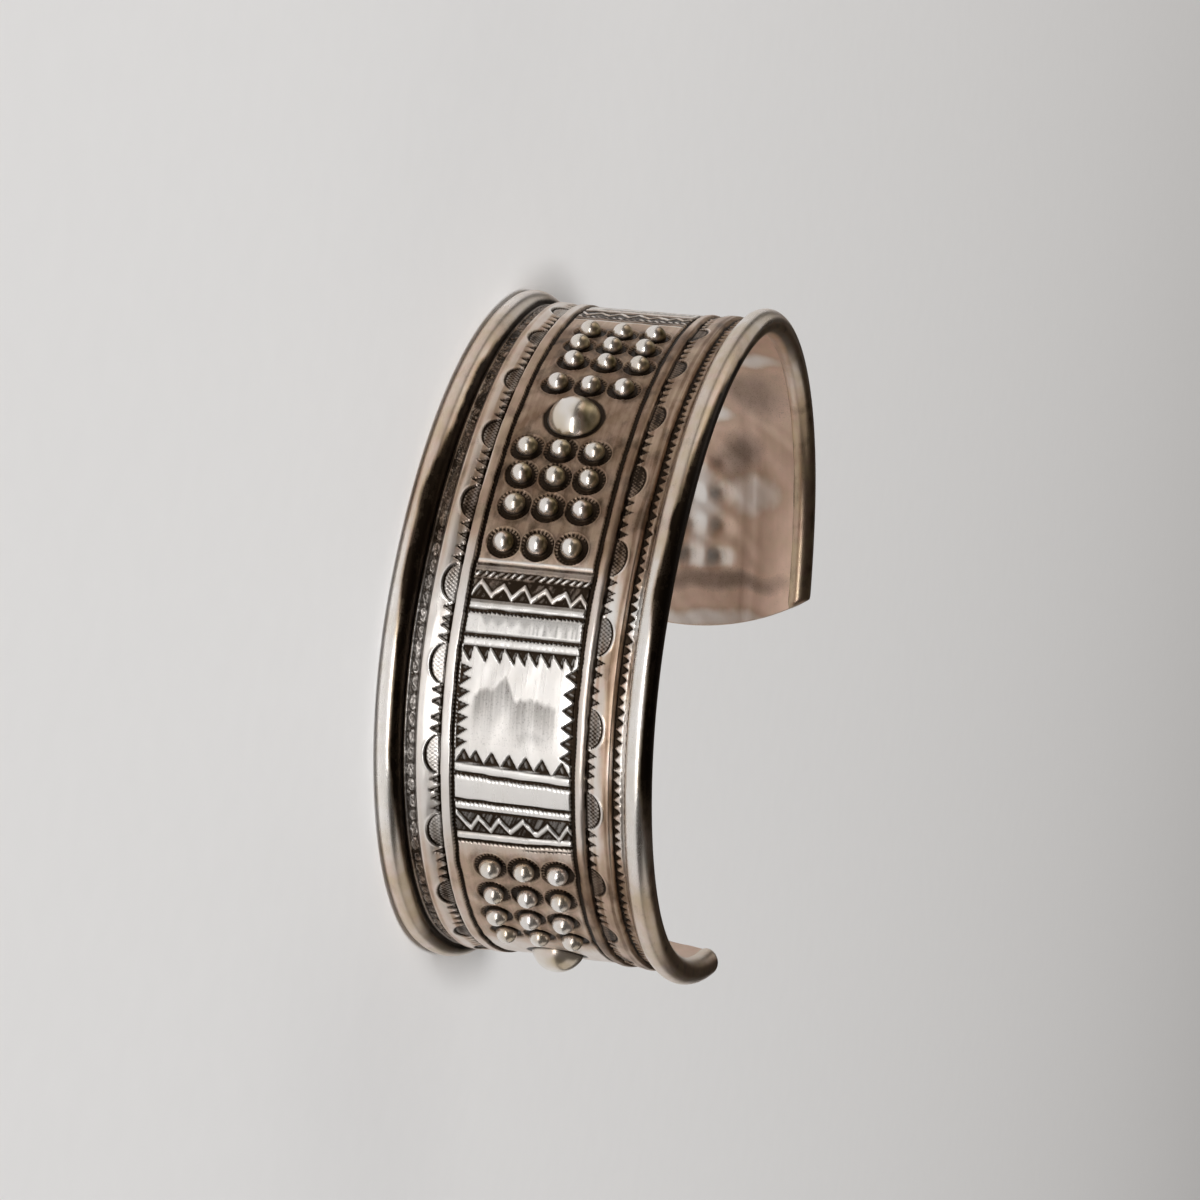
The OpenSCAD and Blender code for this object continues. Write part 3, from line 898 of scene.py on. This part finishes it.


# %% [markdown]
# ## Old silver
# Bare silver is nearly white and smooth. Age gives it a tan or pink tone where the film is thin, a
# rosy or coppery one where it is thick, a faint gold in clouds, black sulphide down in the marks
# and a few black stains. On the beads and domes the thick film is olive, which is painted shade.
# All of it could be painted on by hand, but mixed noise that reads the flat place of each point
# follows the strip round the bend. One recipe holds every coat, and each piece asks for its own
# share of them. The beads, domes and lining are a little less metallic, because their tarnish
# scatters the light.


# %% A small helper that wires nodes
class Recipe:
    def __init__(self, name):
        self.material = bpy.data.materials.new(name)
        self.material.use_nodes = True
        self.tree = self.material.node_tree
        self.shader = self.tree.nodes["Principled BSDF"]

    def node(self, kind, **settings):
        made = self.tree.nodes.new(kind)
        for key, value in settings.items():
            setattr(made, key, value)
        return made

    def join(self, start, socket):
        self.tree.links.new(start, socket)

    def math(self, what, a, b=0.0, clamp=False):
        made = self.node("ShaderNodeMath", operation=what, use_clamp=clamp)
        for socket, value in zip(made.inputs, (a, b)):
            if isinstance(value, (int, float)):
                socket.default_value = value
            else:
                self.join(value, socket)
        return made.outputs[0]

    def mix(self, share, a, b):
        made = self.node("ShaderNodeMix", data_type="RGBA")
        for socket, value in zip((made.inputs[0], made.inputs[6], made.inputs[7]), (share, a, b)):
            if isinstance(value, (int, float)):
                socket.default_value = value
            elif isinstance(value, tuple):
                socket.default_value = (*value, 1.0)
            else:
                self.join(value, socket)
        return made.outputs[2]

    def noise(self, place, scale, detail=2.0):
        made = self.node("ShaderNodeTexNoise")
        made.inputs["Scale"].default_value = scale
        made.inputs["Detail"].default_value = detail
        self.join(place, made.inputs["Vector"])
        return made.outputs["Fac"]

    def remap(self, value, low, high, new_low=0.0, new_high=1.0):
        made = self.node("ShaderNodeMapRange", clamp=True)
        self.join(value, made.inputs["Value"])
        limits = {"From Min": low, "From Max": high, "To Min": new_low, "To Max": new_high}
        for key, number in limits.items():
            made.inputs[key].default_value = number
        return made.outputs["Result"]

    def stretch(self, place, scale):
        made = self.node("ShaderNodeMapping")
        made.inputs["Scale"].default_value = scale
        self.join(place, made.inputs["Vector"])
        return made.outputs["Vector"]


print("recipe helper ready")

# %% Colours of the metal and its coats
BRIGHT = (0.935, 0.91, 0.88)
TAN = (0.64, 0.49, 0.365)
PINK = (0.67, 0.48, 0.38)
ROSY = (0.26, 0.165, 0.11)
BROWN = (0.30, 0.21, 0.13)
COPPERY = (0.86, 0.64, 0.53)
# The olive below is the film colour of the beads and domes, and carries their painted shade.
OLIVE_PAINTED_SHADE = (0.14, 0.108, 0.05)
GOLD = (0.62, 0.51, 0.33)
BLACK = (0.03, 0.02, 0.013)
print("bare silver reflects", BRIGHT, "of red, green and blue")

# %% One recipe for every silver surface
SCRATCH_HIGH = 0.00001


def silver(name, film_colour, gold, rough, brush, metal=1.0, stain=0.5):
    """gold, brush and stain are shares between 0 and 1, and rough is the roughness when bare."""
    r = Recipe(name)
    flat = r.node("ShaderNodeAttribute", attribute_name="flat").outputs["Vector"]
    oxide = r.node("ShaderNodeAttribute", attribute_name="oxide").outputs["Fac"]
    share = r.node("ShaderNodeAttribute", attribute_name="film").outputs["Fac"]
    cloud = r.noise(r.stretch(flat, (0.6, 1.0, 1.0)), 0.55, 5.0)
    speck = r.noise(flat, 8.0, 3.0)
    streak = r.noise(r.stretch(flat, (0.09, 1.6, 0.4)), 2.0, 4.0)
    broken = r.remap(cloud, 0.3, 0.7, 0.72, 1.2)
    broken = r.math("ADD", broken, r.remap(streak, 0.3, 0.7, -0.07, 0.07))
    film = r.math("MULTIPLY", share, broken, clamp=True)

    thin_film = r.mix(r.remap(r.noise(flat, 1.3, 3.0), 0.35, 0.65), TAN, PINK)
    colour = r.mix(r.remap(film, 0.0, 0.5), BRIGHT, thin_film)
    colour = r.mix(r.remap(film, 0.4, 1.0), colour, film_colour)
    tint = r.math("MULTIPLY", r.remap(r.noise(flat, 0.45, 2.0), 0.42, 0.62), gold)
    tint = r.math("MULTIPLY", tint, r.remap(film, 0.0, 0.25, 0.3, 1.0), clamp=True)
    colour = r.mix(tint, colour, GOLD)
    ink = r.math("ADD", oxide, r.math("MULTIPLY", r.remap(speck, 0.55, 0.85), 0.3))
    blotch = r.remap(r.noise(r.stretch(flat, (0.7, 1.0, 1.0)), 0.7, 6.0), 0.48, 0.66)
    blotch = r.math("MULTIPLY", blotch, film)
    ink = r.math("ADD", ink, r.math("MULTIPLY", blotch, stain), clamp=True)
    r.join(r.mix(r.remap(ink, 0.1, 0.87), colour, BLACK), r.shader.inputs["Base Color"])

    r.shader.inputs["Metallic"].default_value = metal
    rub = r.math("MULTIPLY", r.remap(streak, 0.3, 0.7), brush)
    dull = r.math("MULTIPLY", r.math("MAXIMUM", film, ink), 0.14)
    roughness = r.math("ADD", r.math("ADD", rub, rough), dull, clamp=True)
    r.join(roughness, r.shader.inputs["Roughness"])
    bump = r.node("ShaderNodeBump")
    bump.inputs["Strength"].default_value = 1.0
    bump.inputs["Distance"].default_value = SCRATCH_HIGH
    height = r.math("ADD", r.math("MULTIPLY", streak, brush * 6), r.math("MULTIPLY", cloud, 1.2))
    r.join(r.math("ADD", height, r.math("MULTIPLY", speck, 0.15)), bump.inputs["Height"])
    r.join(bump.outputs["Normal"], r.shader.inputs["Normal"])
    return r.material


print("scratches are", SCRATCH_HIGH * 1e6, "micrometres high")

# %% Five finishes
face_silver = silver("silver_stamped", ROSY, 0.12, 0.25, 0.1)
wire_silver = silver("silver_wire", BROWN, 0.5, 0.24, 0.05)
bead_silver = silver("silver_bead", OLIVE_PAINTED_SHADE, 0.6, 0.23, 0.03, 0.94, 0.2)
dome_silver = silver("silver_dome", OLIVE_PAINTED_SHADE, 0.8, 0.2, 0.02, 0.9, 0.2)
lining_silver = silver("silver_lining", COPPERY, 0.15, 0.33, 0.05, 0.88, 0.08)
for piece in faces:
    piece.data.materials.append(face_silver)
for piece in wires:
    piece.data.materials.append(wire_silver)
beads.data.materials.append(bead_silver)
domes.data.materials.append(dome_silver)
for piece in [lining] + edges:
    piece.data.materials.append(lining_silver)
print("five finishes from one recipe")

# %% [markdown]
# ## Floor, light and camera
# Silver shows its surroundings, so the light is what makes it look right. A lamp like a sheet of
# paper lights the floor and the marks, but isn't mirrored, so the metal shows only the room. A low
# window gives the plaque its white flash, and three dim warm walls give the other surfaces
# something to mirror. The rest of the room stays dark, which gives the black halves of the wires. A
# picture of a room would be quicker, but its reflections couldn't be placed one by one. The camera
# stands where the outlines of the cuff fit those in the picture.

# %% Floor
FLOOR_HALF = 3.0
floor_mesh = bpy.data.meshes.new("floor")
corners = [(FLOOR_HALF * x, FLOOR_HALF * y, 0) for x, y in ((-1, -1), (1, -1), (1, 1), (-1, 1))]
floor_mesh.from_pydata(corners, [], [(0, 1, 2, 3)])
floor = bpy.data.objects.new("floor", floor_mesh)
bpy.context.collection.objects.link(floor)
paper = Recipe("floor_paper")
place = paper.node("ShaderNodeTexCoord").outputs["Object"]
grain = paper.noise(place, 300.0, 3.0)
pale = paper.mix(paper.remap(grain, 0.3, 0.7), (0.795, 0.79, 0.79), (0.805, 0.80, 0.80))
paper.join(pale, paper.shader.inputs["Base Color"])
paper.shader.inputs["Roughness"].default_value = 0.6
floor_mesh.materials.append(paper.material)
print("floor is", 2 * FLOOR_HALF, "m wide")


# %% Lights
def panel(name, place, aim, size, power, colour=(1, 1, 1)):
    light = bpy.data.lights.new(name, "AREA")
    light.shape, light.size, light.size_y = "RECTANGLE", size[0], size[1]
    light.energy, light.color = power, colour
    lamp = bpy.data.objects.new(name, light)
    bpy.context.collection.objects.link(lamp)
    lamp.location = place
    lamp.rotation_euler = (Vector(aim) - Vector(place)).to_track_quat("-Z", "Y").to_euler()
    return lamp


WARM = (1.0, 0.95, 0.88)
paper_lamp = panel("paper_lamp", (0.5, -0.5, 1.8), (0.05, -0.05, 0.0), (0.6, 0.6), 30.0)
paper_lamp.visible_glossy = False
panel("window_low", (0.75, -0.58, 0.06), (0, 0, 0.02), (1.1, 0.1), 3.2)
panel("wall_top", (-0.75, -0.65, 0.45), (0, 0, 0), (0.9, 0.6), 1.5, WARM)
panel("wall_near", (0.45, 0.9, 0.45), (0, 0, 0), (1.0, 0.8), 1.2, WARM)
panel("wall_far", (-1.1, 0.1, 0.6), (0, 0, 0), (1.0, 0.8), 1.2, WARM)
world = bpy.data.worlds.new("dim_room")
bpy.context.scene.world = world
world.use_nodes = True
world.node_tree.nodes["Background"].inputs["Color"].default_value = (0.42, 0.35, 0.29, 1)
world.node_tree.nodes["Background"].inputs["Strength"].default_value = 0.08
bpy.context.scene.view_settings.view_transform = "Standard"
print("lights set")

# %% Camera, as fitted to the picture's outlines
UP = Vector((-0.682, -0.725, -0.095))
AHEAD = Vector((-0.689, 0.681, -0.249))
back = -AHEAD.normalized()
right = UP.cross(back).normalized()
up = back.cross(right).normalized()
lens = bpy.data.cameras.new("camera")
lens.lens, lens.sensor_width = 126.8, 36.0
lens.clip_start, lens.clip_end = 0.01, 20.0
camera = bpy.data.objects.new("camera", lens)
bpy.context.collection.objects.link(camera)
turn = Matrix((right, up, back)).transposed().to_4x4()
camera.matrix_world = Matrix.Translation((0.25006, -0.26391 + Y_SHIFT / 1000, 0.10140)) @ turn
bpy.context.scene.camera = camera
print("camera at", [round(x, 4) for x in camera.location])
